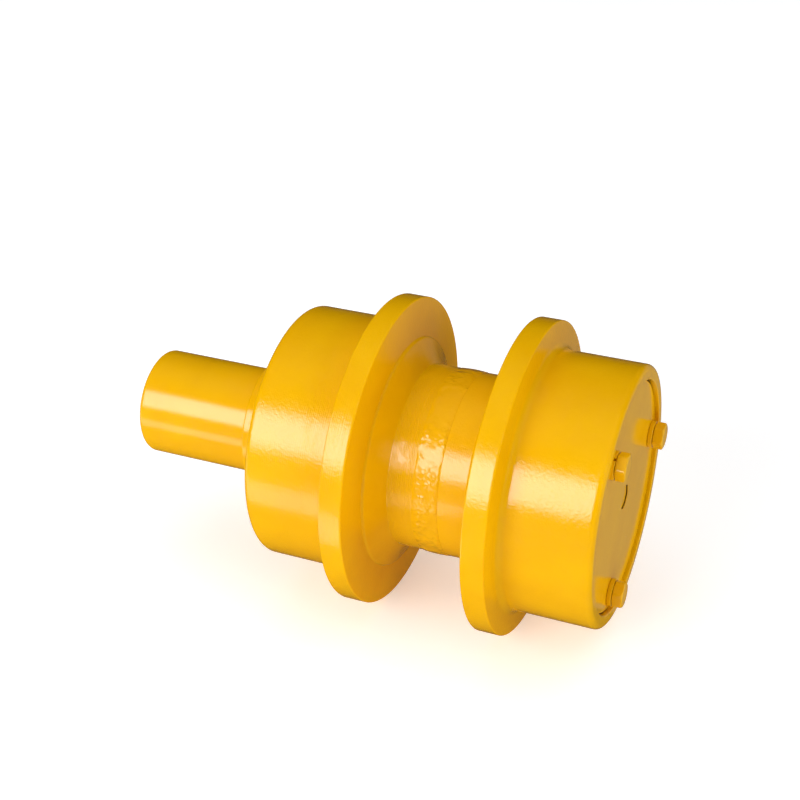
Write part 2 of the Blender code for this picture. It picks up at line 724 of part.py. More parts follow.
def main():
    clear_scene()
    yellow = finish("yellow_paint", 0.88, 0.44, 0.006, 0.28, 0.0)
    steel = finish("machined_steel", 0.46, 0.46, 0.45, 0.35, 1.0)
    race = finish("ground_bearing_steel", 0.60, 0.60, 0.62, 0.16, 1.0)
    sheet = finish("pressed_steel", 0.38, 0.37, 0.35, 0.45, 1.0)
    rubber = finish("black_rubber", 0.018, 0.018, 0.018, 0.55, 0.0)

    shaft_axis = pivot("shaft_axis", 0)
    make_shaft(shaft_axis, yellow)
    fixed = pivot("fixed_parts", roller_centre, shaft_axis)
    spin = pivot("roller_spin_axis", roller_centre, shaft_axis)

    make_collar(fixed, yellow)
    make_o_ring("collar_o_ring", -(half_length + COLLAR_STANDOUT / 2), stub_r, fixed, rubber)
    make_seal("stationary", fixed, -1, race, rubber)
    make_seal("rotating", spin, 1, race, rubber)
    groove, groove_r = make_seal_housing(spin, steel)
    make_o_ring("housing_o_ring", -groove, groove_r - GAP, spin, rubber)
    make_snap_ring(spin, sheet)

    make_inboard_half(spin, yellow)
    make_outboard_half(spin, yellow)
    make_weld(spin, yellow)

    facing_in = Matrix.Translation((0, -inboard_cup_back, 0)) @ Matrix.Rotation(pi, 4, "Z")
    facing_out = Matrix.Translation((0, outboard_cup_back, 0))
    for side, cup_r, place in (
        ("inboard", inboard_cup_r, facing_in),
        ("outboard", outboard_cup_r, facing_out),
    ):
        bearing = Bearing(cup_r)
        cage_axis = pivot(f"{side}_cage_axis", roller_centre, shaft_axis)
        make_cup(f"{side}_bearing_cup", bearing, spin, place, race)
        make_cone(f"{side}_bearing_cone", bearing, fixed, place, race)
        make_cage(f"{side}_bearing_cage", bearing, cage_axis, place, sheet)
        make_rollers(side, bearing, cage_axis, place, race)
        cage_ratio, roller_ratio = bearing.spin_ratios()
        print(f"{side}: cage turns {cage_ratio:.6f}, roller turns {roller_ratio:.6f} in its cage")

    make_lock_washer(fixed, sheet)
    make_nut(fixed, steel)

    groove, groove_r = make_cover(spin, yellow)
    make_o_ring("cover_o_ring", groove, groove_r - GAP, spin, rubber)
    for number, turn in enumerate(bolt_places(), 1):
        make_bolt(number, turn, spin, yellow)
    make_plug(spin, yellow)


main()
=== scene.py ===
"""A double-flanged carrier roller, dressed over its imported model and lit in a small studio.

Everything is in metres. +Y runs along the spin axis from the stub to the bolted cover, and +Z is up.
"""

import json
from math import atan2, ceil, cos, floor, pi, radians, sin, tan

import bmesh
import bpy
from mathutils import Matrix, Vector


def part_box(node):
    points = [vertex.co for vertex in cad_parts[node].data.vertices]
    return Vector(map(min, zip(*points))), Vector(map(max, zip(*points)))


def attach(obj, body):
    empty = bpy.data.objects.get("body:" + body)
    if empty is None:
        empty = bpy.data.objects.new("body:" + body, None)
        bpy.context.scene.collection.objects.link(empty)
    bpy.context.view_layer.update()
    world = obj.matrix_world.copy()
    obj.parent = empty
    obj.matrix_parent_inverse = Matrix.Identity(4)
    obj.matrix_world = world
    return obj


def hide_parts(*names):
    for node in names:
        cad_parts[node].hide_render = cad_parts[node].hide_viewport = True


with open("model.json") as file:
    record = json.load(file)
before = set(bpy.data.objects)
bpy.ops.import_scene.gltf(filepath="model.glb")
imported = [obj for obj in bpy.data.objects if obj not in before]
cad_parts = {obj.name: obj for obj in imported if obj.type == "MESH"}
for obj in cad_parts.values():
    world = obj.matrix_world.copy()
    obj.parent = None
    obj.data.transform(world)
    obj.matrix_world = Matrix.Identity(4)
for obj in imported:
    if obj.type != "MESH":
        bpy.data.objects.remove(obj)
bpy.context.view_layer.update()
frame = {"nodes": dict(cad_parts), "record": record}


# ---- Shaft ----
# A turned steel bar. Its plain stub is clamped in the bracket, and the stepped end inside the shell carries the
# bearings and ends in a thread. The stub is sprayed with the same thick yellow enamel as the shell.

class Wire:
    """A socket of a node tree. Sums on it become Math nodes, and node() adds any other kind."""

    def __init__(self, tree, socket=None):
        self.tree = tree
        self.socket = socket

    def node(self, kind, settings=(), ports=(), output=0):
        made = self.tree.nodes.new(kind)
        for name, value in dict(settings).items():
            if name == "stops":
                ramp = made.color_ramp
                while len(ramp.elements) < len(value):
                    ramp.elements.new(1.0)
                for element, (at, shade) in zip(ramp.elements, value):
                    element.position = at
                    element.color = (*shade, 1)
            else:
                setattr(made, name, value)
        for port, value in dict(ports).items():
            if isinstance(value, Wire):
                self.tree.links.new(value.socket, made.inputs[port])
            else:
                made.inputs[port].default_value = value
        return Wire(self.tree, made.outputs[output])

    def maths(self, operation, *values):
        return self.node("ShaderNodeMath", {"operation": operation}, enumerate(values))

    def __add__(self, other):
        return self.maths("ADD", self, other)

    def __sub__(self, other):
        return self.maths("SUBTRACT", self, other)

    def __rsub__(self, other):
        return self.maths("SUBTRACT", other, self)

    def __mul__(self, other):
        return self.maths("MULTIPLY", self, other)

    def __truediv__(self, other):
        return self.maths("DIVIDE", self, other)

    def __rtruediv__(self, other):
        return self.maths("DIVIDE", other, self)

    __radd__ = __add__
    __rmul__ = __mul__

    def ease(self, start, end):
        """0 up to start, 1 from end, and smooth between them. start may be the larger."""
        ports = {"Value": self, "From Min": start, "From Max": end}
        return self.node("ShaderNodeMapRange", {"interpolation_type": "SMOOTHSTEP"}, ports)

    def blend(self, low, high):
        """The colour low where this is 0 and high where it is 1."""
        low, high = (c if isinstance(c, Wire) else (*c, 1) for c in (low, high))
        return self.node("ShaderNodeMix", {"data_type": "RGBA"}, {0: self, 6: low, 7: high}, output=2)

    def noise(self, where, scale, detail=2.0, rough=0.5):
        ports = {"Vector": where, "Scale": scale, "Detail": detail, "Roughness": rough}
        return self.node("ShaderNodeTexNoise", (), ports)

    def along_only(self, where):
        """A point that changes only along the spin axis, so that a pattern on it runs round in rings."""
        scale = {"operation": "MULTIPLY"}
        return self.node("ShaderNodeVectorMath", scale, {0: where, 1: (0.0, 1.0, 0.0)})

    def raised(self, height, distance, under=None):
        """The surface direction once height, which is about 0 to 1, stands distance metres proud."""
        ports = {"Height": height, "Distance": distance, "Strength": 1.0}
        if under is not None:
            ports["Normal"] = under
        return self.node("ShaderNodeBump", (), ports)


def start_material(name):
    """A new material, a wire to draw its pattern with, and the place on the piece that the pattern reads."""
    made = bpy.data.materials.new(name)
    made.use_nodes = True
    draw = Wire(made.node_tree)
    return made, draw, draw.node("ShaderNodeTexCoord", output=3)


def surface(made, linked, **even):
    """Links the varying ports of the material's surface shader, and sets its even ones."""
    shader = made.node_tree.nodes["Principled BSDF"]
    for port, wire in linked.items():
        made.node_tree.links.new(wire.socket, shader.inputs[port])
    for port, value in even.items():
        shader.inputs[port.replace("_", " ")].default_value = value
    return made


enamel_deep = (0.830, 0.418, 0.0)
enamel_full = (0.870, 0.454, 0.0)
enamel_thin = (0.76, 0.320, 0.0)
# The colour of the painted shade in narrow gaps between parts.
painted_gap_shade = (0.05, 0.022, 0.004)
feed_rate = 4100.0  # radians that the lathe turned for each metre its tool moved
mark_fade, gap_shade_fade = 0.002, 0.0006


def enamel(name, peel=0.00005, rough=0.11, marks=(), beads=0.0, shaded_gaps=()):
    """Sprayed yellow enamel. Each of marks is a stretch of lathe marks under it: its two ends on the axis, and
    their height. beads is the height of a weld's lumps. Each ring in the last argument is painted shade that
    darkens a narrow gap between parts: its two ends, and its two radii."""
    made, draw, here = start_material(name)
    along = draw.node("ShaderNodeSeparateXYZ", (), {0: here}, output=1)
    patches = draw.noise(here, 22.0, 3.0).ease(0.32, 0.68)
    speckle = draw.noise(here, 700.0, 2.0).ease(0.60, 0.80)
    colour = patches.blend(enamel_deep, enamel_full)
    colour = (speckle * 0.22).blend(colour, enamel_thin)
    facing = draw.raised(draw.noise(here, 38.0, 2.0), 0.00018)
    grain = draw.noise(here, 460.0, 2.5, 0.6)
    facing = draw.raised(grain, peel, facing)
    drift = draw.noise(draw.along_only(here), 90.0, 2.0)
    feed = draw.maths("SINE", along * feed_rate + drift * 14.0) * 0.5
    dull = draw.noise(here, 160.0, 4.0, 0.65).ease(0.35, 0.8)
    for low, high, height in marks:
        inside = along.ease(low - mark_fade, low + mark_fade) * along.ease(high + mark_fade, high - mark_fade)
        reach = draw.noise(here, 60.0, 3.0, 0.6).ease(0.28, 0.52) * inside
        facing = draw.raised(feed * reach, height, facing)
        dull = dull + reach * 0.2
    if beads:
        where = draw.noise(here, 38.0, 2.0).ease(0.36, 0.56)
        facing = draw.raised(draw.noise(here, 240.0, 1.0, 0.4) * where, beads, facing)
    nibs = draw.node("ShaderNodeTexVoronoi", {"feature": "F1"}, {"Vector": here, "Scale": 85.0})
    facing = draw.raised(nibs.ease(0.045, 0.0), 0.00006, facing)
    # Painted shade: each ring darkens and dulls a narrow gap between parts, where shade falls.
    for low, high, inner, outer in shaded_gaps:
        flat = draw.node("ShaderNodeVectorMath", {"operation": "MULTIPLY"}, {0: here, 1: (1.0, 0.0, 1.0)})
        radius = draw.node("ShaderNodeVectorMath", {"operation": "LENGTH"}, {0: flat}, output=1)
        in_gap_shade = along.ease(low, low + gap_shade_fade) * along.ease(high, high - gap_shade_fade)
        in_gap_shade = in_gap_shade * radius.ease(inner, inner + 0.0004) * radius.ease(outer, outer - 0.0004)
        colour = in_gap_shade.blend(colour, painted_gap_shade)
        dull = dull + in_gap_shade * 4.0
    roughness = rough + dull * 0.08
    return surface(made, {"Base Color": colour, "Roughness": roughness, "Normal": facing},
                   IOR=1.60, Coat_Weight=0.2, Coat_Roughness=0.05)


def section(corners, ring=True):
    """(along, radius) points of a section, from corners that may each give their rounding as a third number."""
    points = []
    for n, (along, radius, *rounding) in enumerate(corners):
        here = Vector((along, radius))
        if not rounding or not rounding[0]:
            points.append(here)
            continue
        before = (Vector(corners[n - 1][:2]) - here).normalized()
        after = (Vector(corners[(n + 1) % len(corners)][:2]) - here).normalized()
        half = before.angle(after) / 2
        reach = rounding[0] / tan(half)
        centre = here + (before + after).normalized() * (rounding[0] / sin(half))
        first, last = here + before * reach - centre, here + after * reach - centre
        turn = atan2(first.cross(last), first.dot(last))
        steps = max(3, ceil(abs(turn) / radians(12)))
        points.append(centre + first + before * reach * 0.15)
        for step in range(steps + 1):
            a = turn * step / steps
            across, up = first.x * cos(a) - first.y * sin(a), first.x * sin(a) + first.y * cos(a)
            points.append(centre + Vector((across, up)))
        points.append(centre + last + after * reach * 0.15)
    return points + points[:1] if ring else points


def turning_tree():
    """Turns the section that it is given, drawn as (0, along, radius) points, once round the spin axis."""
    tree = bpy.data.node_groups.new("turned on a lathe", "GeometryNodeTree")
    face = tree.interface
    face.new_socket("Section", in_out="INPUT", socket_type="NodeSocketGeometry")
    for name in ("Section Points", "Steps Round"):
        face.new_socket(name, in_out="INPUT", socket_type="NodeSocketInt")
    face.new_socket("Weld Ripple", in_out="INPUT", socket_type="NodeSocketFloat")
    face.new_socket("Finish", in_out="INPUT", socket_type="NodeSocketMaterial")
    face.new_socket("Turned", in_out="OUTPUT", socket_type="NodeSocketGeometry")
    given = tree.nodes.new("NodeGroupInput")
    shape, points, steps, ripple, finish = (Wire(tree, given.outputs[n]) for n in range(5))
    draw = Wire(tree)

    def whole(operation, *values):
        return draw.node("FunctionNodeIntegerMath", {"operation": operation}, enumerate(values))

    rows = whole("ADD", steps, 1)
    grid = draw.node("GeometryNodeMeshGrid", (), {"Vertices X": points, "Vertices Y": rows})
    index = draw.node("GeometryNodeInputIndex")
    spot = draw.node("GeometryNodeInputPosition")
    read = {"data_type": "FLOAT_VECTOR", "domain": "POINT"}
    on_section = draw.node("GeometryNodeSampleIndex", read,
                           {"Geometry": shape, "Value": spot, "Index": whole("DIVIDE_FLOOR", index, rows)})
    along = draw.node("ShaderNodeSeparateXYZ", (), {0: on_section}, output=1)
    radius = draw.node("ShaderNodeSeparateXYZ", (), {0: on_section}, output=2)
    angle = whole("MODULO", index, rows) / steps * (2 * pi)
    away = draw.maths("SINE", angle), draw.maths("COSINE", angle)
    # A weld's ripples: scallops laid one over the other round the seam, with a little wander.
    flat = draw.node("ShaderNodeCombineXYZ", (), {0: away[0], 1: along * 22.0, 2: away[1]})
    wander = draw.noise(flat, 9.0, 3.0, 0.6) - 0.5
    scallop = draw.maths("SINE", angle * 96.0 + wander * 14.0) * 0.10
    radius = radius + (wander * 1.6 + scallop) * ripple
    place = draw.node("ShaderNodeCombineXYZ", (), {0: away[0] * radius, 1: along, 2: away[1] * radius})
    result = draw.node("GeometryNodeSetPosition", (), {"Geometry": grid, "Position": place})
    result = draw.node("GeometryNodeMergeByDistance", (), {"Geometry": result, "Distance": 1e-6})
    result = draw.node("GeometryNodeSetShadeSmooth", (), {"Geometry": result})
    result = draw.node("GeometryNodeRealizeInstances", (), {"Geometry": result})
    result = draw.node("GeometryNodeSetMaterial", (), {"Geometry": result, "Material": finish})
    last = tree.nodes.new("NodeGroupOutput")
    tree.links.new(result.socket, last.inputs[0])
    return tree


def set_input(modifier, name, value):
    for item in modifier.node_group.interface.items_tree:
        if item.item_type == "SOCKET" and item.in_out == "INPUT" and item.name == name:
            modifier[item.identifier] = value


def baked(made):
    """A plain mesh of the object as its modifiers leave it."""
    view = bpy.context.evaluated_depsgraph_get()
    return bpy.data.meshes.new_from_object(made.evaluated_get(view), preserve_all_data_layers=True, depsgraph=view)


def grown(name, start, tree, **inputs):
    """A plain mesh object: what the tree makes of the start mesh."""
    made = bpy.data.objects.new(name, start)
    bpy.context.scene.collection.objects.link(made)
    modifier = made.modifiers.new("grow", "NODES")
    modifier.node_group = tree
    for key, value in inputs.items():
        set_input(modifier, key.replace("_", " "), value)
    mesh = baked(made)
    made.modifiers.remove(modifier)
    made.data = mesh
    mesh.materials.clear()
    mesh.materials.append(inputs["Finish"])
    mesh.polygons.foreach_set("material_index", [0] * len(mesh.polygons))
    return made


def face_out(bm):
    """Turns a closed solid's faces outwards."""
    bmesh.ops.recalc_face_normals(bm, faces=bm.faces)
    if bm.calc_volume(signed=True) < 0:
        bmesh.ops.reverse_faces(bm, faces=bm.faces)


crease = radians(28)


def crisp(made):
    """Faces outwards, and creases kept where the surface turns by more than the angle above."""
    bm = bmesh.new()
    bm.from_mesh(made.data)
    face_out(bm)
    bm.to_mesh(made.data)
    bm.free()
    made.data.shade_smooth()
    made.data.set_sharp_from_angle(angle=crease)
    return made


lathe = turning_tree()


def turned(name, corners, finish, steps=160, ring=True, ripple=0.0):
    points = section(corners, ring)
    start = bpy.data.meshes.new(name)
    start.from_pydata([(0, along, radius) for along, radius in points], [], [])
    return crisp(grown(name, start, lathe, Section_Points=len(points), Steps_Round=steps, Weld_Ripple=ripple,
                       Finish=finish))


def dress(piece, body, *nodes, slot=None):
    """The piece rides on the body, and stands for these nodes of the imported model."""
    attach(piece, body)
    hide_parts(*nodes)
    return piece


def cut_from(piece, *cutters):
    """Cuts these objects out of the piece for good, and removes them. The cut walls take the piece's finish."""
    for cutter in cutters:
        cutter.data.materials.append(piece.data.materials[0])
        step = piece.modifiers.new("cut", "BOOLEAN")
        step.operation, step.solver, step.object = "DIFFERENCE", "EXACT", cutter
    mesh = baked(piece)
    piece.modifiers.clear()
    piece.data = mesh
    for cutter in cutters:
        bpy.data.objects.remove(cutter)
    mesh.set_sharp_from_angle(angle=crease)
    return piece


def from_bmesh(name, bm, finish=None):
    face_out(bm)
    mesh = bpy.data.meshes.new(name)
    bm.to_mesh(mesh)
    bm.free()
    made = bpy.data.objects.new(name, mesh)
    bpy.context.scene.collection.objects.link(made)
    if finish:
        mesh.materials.append(finish)
    mesh.shade_smooth()
    mesh.set_sharp_from_angle(angle=crease)
    return made


def bar(name, radius, low, high, sides, place=Matrix.Identity(4)):
    """A plain round bar along Y, to cut holes with."""
    bm = bmesh.new()
    along = Matrix.Translation((0, (low + high) / 2, 0)) @ Matrix.Rotation(radians(-90), 4, "X")
    bmesh.ops.create_cone(bm, cap_ends=True, segments=sides, radius1=radius, radius2=radius,
                          depth=high - low, matrix=place @ along)
    return from_bmesh(name, bm)


def thread(start, end, top, pitch, depth):
    """Corners of a thread's crests and roots from start to end, at radius top."""
    count = floor((end - start) / pitch)
    corners = []
    for n in range(count):
        at = start + n * pitch
        corners += [(at + pitch * 0.10, top - depth), (at + pitch * 0.45, top), (at + pitch * 0.60, top)]
    return corners


weld_low, weld_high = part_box("weld_bead")
middle = (weld_low.y + weld_high.y) / 2
stub_r, stub_round = 0.040, 0.0030
sleeve_start, sleeve_end, sleeve_r = middle - 0.1031, middle - 0.0956, 0.046
journal_in, journal_out, waist_bar_r = 0.0375, 0.0325, 0.036
thread_start, shaft_end, thread_r = middle + 0.0953, middle + 0.1104, 0.030
thread_pitch, thread_depth = 0.0020, 0.0012
keyway_width, keyway_depth = 0.006, 0.004

enamel_on_bar = enamel("enamel on the stub", peel=0.00004, rough=0.13, marks=[(0.0, 0.1, 0.000015)])
shaft = turned("shaft", [
    (0, 0),
    (0, stub_r, stub_round),
    (sleeve_start, stub_r),
    (sleeve_start, sleeve_r, 0.0004),
    (sleeve_end, sleeve_r, 0.0004),
    (sleeve_end, journal_in),
    (middle - 0.0620, journal_in),
    (middle - 0.0605, waist_bar_r),
    (middle + 0.0585, waist_bar_r),
    (middle + 0.0620, journal_out),
    (thread_start, journal_out, 0.0003),
    (thread_start, thread_r),
    *thread(thread_start + 0.0015, shaft_end - 0.001, thread_r, thread_pitch, thread_depth),
    (shaft_end - 0.0010, thread_r - thread_depth),
    (shaft_end, thread_r - 0.0018),
    (shaft_end, 0),
], enamel_on_bar, steps=160, ring=False)
keyway = bmesh.new()
bmesh.ops.create_cube(keyway, matrix=Matrix.Translation((0, shaft_end, thread_r)) @ Matrix.Diagonal(
    (keyway_width, (shaft_end - thread_start - 0.0003) * 2, keyway_depth * 2, 1)))
cut_from(shaft, from_bmesh("keyway", keyway))
dress(shaft, "shaft_group", "shaft", slot="shaft_paint")


# ---- Seal collar ----
# A turned steel ring pressed on the shaft against its shoulder. Its far side is a cup for the seal, and the face
# towards the stub butts against the bracket. It is painted with the roller, and its own O-ring keeps the oil in.

collar_face, collar_inner_end, collar_r, collar_bore = middle - 0.1525, middle - 0.10340, 0.050, stub_r + 0.0003
cup_back, cup_floor, cup_rim, cup_r = middle - 0.12475, middle - 0.12090, middle - 0.11260, 0.0660
groove_far, groove_near, groove_r = middle - 0.14205, middle - 0.13795, stub_r + 0.0041
enamel_on_ring = enamel("enamel on the collar", peel=0.00008)
collar = turned("seal_collar", [
    (collar_face, collar_bore),
    (collar_face, collar_r, 0.0015),
    (cup_back, collar_r, 0.0012),
    (cup_back, cup_r, 0.0008),
    (cup_rim, cup_r, 0.0005),
    (cup_rim, 0.0620),
    (cup_floor, 0.0605),
    (cup_floor, sleeve_r),
    (collar_inner_end, sleeve_r),
    (collar_inner_end, collar_bore),
    (groove_near, collar_bore),
    (groove_near, groove_r),
    (groove_far, groove_r),
    (groove_far, collar_bore),
], enamel_on_ring)
dress(collar, "shaft_group", "seal_collar", slot="seal_collar_paint")


# ---- Shell ----
# Two hollow steel forgings, turned inside and out. Each is one tread, one flange and half the waist. They are
# butted together and welded round the middle of the waist, and the whole shell is then sprayed.

tread_r, flange_r, waist_r, shoulder_r, cavity_r = 0.095, 0.115, 0.068, 0.0855, 0.052
flange_in, flange_out, half_length = 0.0430, 0.0600, 0.1275
end_round, root_fillet, rim_edge, shoulder_round = 0.0045, 0.0055, 0.0013, 0.0020
cup_seat, cover_seat, cover_bore, outboard_cup_r, inboard_cup_r, housing_bore = (
    0.0620, 0.1122, 0.0845, 0.0603, 0.0653, 0.0700)
weld_root_r = waist_r - 0.009
# The shell's enamel carries painted shade in the gap round the cover, inside the shell's outboard mouth.
enamel_on_shell = enamel("enamel on the shell", peel=0.00020, rough=0.11, marks=[
    (middle - 0.1300, middle - 0.0860, 0.00003),
    (middle - 0.0860, middle - 0.0430, 0.00008),
    (middle - 0.0285, middle - 0.0100, 0.00018),
    (middle + 0.0100, middle + 0.0300, 0.00003),
], shaded_gaps=[(middle + 0.1100, middle + 0.1240, 0.060, 0.0860)])


def bowed(start, end, sag, count):
    """Points from start to end, bowed by sag in the middle."""
    run, rise = end[0] - start[0], end[1] - start[1]
    length = (run * run + rise * rise) ** 0.5
    points = []
    for step in range(count + 1):
        share = step / count
        off = 4 * sag * share * (1 - share) / length
        points.append((start[0] + run * share + off * rise, start[1] + rise * share - off * run))
    return points


def shell_outside():
    """Corners from the weld's root out to the end face, measured from the middle of the shell."""
    return [
        (0.00015, weld_root_r),
        (0.0025, weld_root_r),
        (0.00925, waist_r, 0.0003),
        *bowed((0.0287, waist_r), (0.0386, shoulder_r), 0.0008, 10)[:-1],
        (0.0386, shoulder_r, shoulder_round),
        (0.0404, shoulder_r + 0.0009),
        (flange_in, flange_r, rim_edge),
        (flange_out, flange_r, rim_edge),
        (0.0620, tread_r, root_fillet),
        (half_length, tread_r, end_round),
    ]


outboard = turned("outboard_shell_half", [(middle + along, radius, *more) for along, radius, *more in [
    *shell_outside(),
    (half_length, cover_bore, 0.0010),
    (cover_seat, cover_bore, 0.0004),
    (cover_seat, outboard_cup_r, 0.0006),
    (cup_seat, outboard_cup_r),
    (cup_seat, cavity_r, 0.0008),
    (0.00015, cavity_r),
]], enamel_on_shell, steps=192)
inboard = turned("inboard_shell_half", [(middle - along, radius, *more) for along, radius, *more in [
    *shell_outside(),
    (half_length, housing_bore, 0.0015),
    (0.1105, housing_bore),
    (0.1105, 0.0720),
    (0.1074, 0.0720),
    (0.1074, housing_bore),
    (0.0969, housing_bore),
    (0.0969, inboard_cup_r, 0.0004),
    (cup_seat, inboard_cup_r),
    (cup_seat, cavity_r, 0.0008),
    (0.00015, cavity_r),
]], enamel_on_shell, steps=192)

bolt_circle_r, bolt_count, first_bolt = 0.0705, 3, 41.4
tapped_r, tapped_bottom, tapped_mouth = 0.0063, 0.0902, 0.1140


def bolt_stand(number):
    """Where a cover bolt stands: from the middle of the shell, turned from +Z towards +X."""
    turn = Matrix.Rotation(radians(first_bolt + 360 * number / bolt_count), 4, "Y")
    return Matrix.Translation((0, middle, 0)) @ turn @ Matrix.Translation((0, 0, bolt_circle_r))


cut_from(outboard, *[bar(f"tapped_hole_{n}", tapped_r, tapped_bottom, tapped_mouth, 32, bolt_stand(n))
                     for n in range(bolt_count)])
dress(outboard, "roller", "outboard_shell_half", slot="shell_paint")
dress(inboard, "roller", "inboard_shell_half", slot="shell_paint")


# ---- Weld ----
# The bead that joins the halves, laid in a V groove and dressed almost flush with the waist. Its ripples still
# show through the paint, which lies thicker and lumpier over it.

enamel_on_weld = enamel("enamel on the weld", peel=0.00016, rough=0.12, beads=0.0015)
weld = turned("weld_bead", [
    (middle - 0.0022, waist_r - 0.0087),
    (middle - 0.0088, waist_r - 0.0004),
    (middle - 0.0098, waist_r - 0.0004),
    (middle - 0.0098, waist_r + 0.00005),
    *[(middle + along, radius) for along, radius in bowed((-0.0090, waist_r + 0.0003), (0.0080, waist_r + 0.0003),
                                                          -0.0004, 20)],
    (middle + 0.0091, waist_r - 0.0001, 0.0002),
    (middle + 0.0091, waist_r - 0.0008),
    (middle + 0.0022, waist_r - 0.0087),
], enamel_on_weld, steps=384, ripple=0.0002)
dress(weld, "roller", "weld_bead", slot="weld_paint")


# ---- Cover ----
# A steel disc let into the outboard end and bolted down on a shoulder. Its spigot carries an O-ring. A plain plug
# pressed into the middle closes the oil filler. They were painted in place, and the paint is glassy on the flats.

cover_face, cover_back, cover_r, bolt_hole_r = 0.1245, 0.1125, 0.0835, 0.00675
spigot_end, spigot_r, spigot_bore = 0.1035, 0.0600, 0.0520
ring_groove, ring_groove_r = (0.10980, 0.10620), 0.0565
plug_r, plug_length, plug_sink, plug_hole_r = 0.0086, 0.0100, 0.0010, 0.0089
# Painted shade darkens the cover's rim in the gap round it, and the wall of the hole round the filler plug.
enamel_on_cover = enamel("enamel on the cover", peel=0.00004, rough=0.10, shaded_gaps=[
    (middle + 0.1100, middle + 0.1235, 0.0828, 0.0850), (middle + 0.1220, middle + 0.1244, 0.0081, 0.0094)])
cover = turned("end_cover", [(middle + along, radius, *more) for along, radius, *more in [
    (cover_face, 0),
    (cover_face, cover_r, 0.0011),
    (cover_back, cover_r, 0.0006),
    (cover_back, spigot_r),
    (ring_groove[0], spigot_r),
    (ring_groove[0], ring_groove_r),
    (ring_groove[1], ring_groove_r),
    (ring_groove[1], spigot_r),
    (spigot_end, spigot_r, 0.0006),
    (spigot_end, spigot_bore, 0.0006),
    (cover_back, spigot_bore),
    (cover_back, 0),
]], enamel_on_cover, steps=192, ring=False)
bolt_holes = [bar(f"bolt_hole_{n}", bolt_hole_r, cover_back - 0.001, cover_face + 0.001, 32, bolt_stand(n))
              for n in range(bolt_count)]
plug_hole = bar("plug_hole", plug_hole_r, middle + cover_back - 0.001, middle + cover_face + 0.001, 64)
cut_from(cover, *bolt_holes, plug_hole)
dress(cover, "roller", "end_cover", slot="cover_paint")

plug_face = middle + cover_face - plug_sink
plug = turned("filler_plug", [
    (plug_face, 0),
    (plug_face, plug_r, 0.0006),
    (plug_face - plug_length, plug_r, 0.0008),
    (plug_face - plug_length, 0),
], enamel_on_cover, steps=96, ring=False)
dress(plug, "roller", "filler_plug", slot="cover_paint")


# ---- Cover bolts ----
# Hexagon-head steel bolts, each on a split spring washer, screwed into tapped holes in the shell. They are painted
# over, so the hexagon's corners and the chamfer on top are softened.

head_flats, head_height, washer_seat, shank_r = 0.018, 0.0075, 0.0036, 0.0060
head_turns = (8, 51, 26)
washer_bore, washer_r = 0.0067, 0.0101
enamel_on_bolts = enamel("enamel on the bolts", peel=0.00014, rough=0.18)


def hexagon(angle, flats):
    """The distance from the axis to the side of a hexagon that is flats across, at this angle."""
    return flats / 2 / cos((angle + pi / 6) % (pi / 3) - pi / 6)


def rings_to_solid(rings):
    """A bmesh solid from rings of points, capped by a point at each end. Each ring has as many points."""
    bm = bmesh.new()
    made = [[bm.verts.new(point) for point in ring] for ring in rings]
    for low, high in zip(made, made[1:]):
        for n in range(len(low)):
            after = (n + 1) % len(low)
            bm.faces.new((low[n], low[after], high[after], high[n]))
    for ring in (made[0], made[-1]):
        middle_point = bm.verts.new(sum((v.co for v in ring), Vector()) / len(ring))
        for n in range(len(ring)):
            bm.faces.new((ring[n], ring[(n + 1) % len(ring)], middle_point))
    return bm


def hoop(count, along, reach):
    """A ring of points round Y at this height, with reach giving each angle's distance from the axis."""
    angles = [2 * pi * n / count for n in range(count)]
    return [(reach(a) * sin(a), along, reach(a) * cos(a)) for a in angles]


def head_reach(shrink):
    """A hexagon's side, drawn in by shrink and softened at its corners."""
    def reach(a):
        side = hexagon(a, head_flats) - shrink
        return min(side, head_flats / 2 / cos(pi / 6) - 0.00035 - shrink)
    return reach


def bolt_rings():
    """Rings of a bolt from the tip of its shank to the top of its head, with the cover's face at 0."""
    top, under = washer_seat + head_height, washer_seat
    rings = [hoop(96, under - 0.0300, lambda a: shank_r - 0.0016)]
    for n in range(12):
        at = under - 0.0292 + n * 0.00175
        rings.append(hoop(96, at, lambda a: shank_r - 0.0010))
        rings.append(hoop(96, at + 0.00080, lambda a: shank_r))
        rings.append(hoop(96, at + 0.00105, lambda a: shank_r))
    rings.append(hoop(96, under, lambda a: shank_r))
    rings.append(hoop(96, under, lambda a: head_flats * 0.475))
    rings.append(hoop(96, under + 0.0005, lambda a: head_flats * 0.475))
    for lift, shrink in ((0.0005, 0.0), (0.0008, 0.0)):
        rings.append(hoop(96, under + lift + 0.0001, head_reach(shrink)))
    flat = head_flats * 0.46
    side = head_reach(0.0)
    rings.append([(x, top - max(0.00035, ((x * x + z * z) ** 0.5 - flat) * 0.55), z)
                  for x, _, z in hoop(96, 0, side)])
    rings.append([(x, top - max(0.0, ((x * x + z * z) ** 0.5 - flat) * 0.55), z)
                  for x, _, z in hoop(96, 0, head_reach(0.00035))])
    rings.append(hoop(96, top, lambda a: flat - 0.0002))
    rings.append(hoop(96, top, lambda a: flat * 0.7))
    return rings


for number in range(bolt_count):
    shape = rings_to_solid(bolt_rings())
    spun = Matrix.Rotation(radians(head_turns[number]), 4, "Y")
    stand = bolt_stand(number) @ Matrix.Translation((0, cover_face, 0))
    bmesh.ops.transform(shape, matrix=stand @ spun, verts=shape.verts)
    bolt = from_bmesh(f"cover_bolt_{number + 1}", shape, enamel_on_bolts)
    dress(bolt, "roller", f"cover_bolt_{number + 1}", slot="fastener_paint")


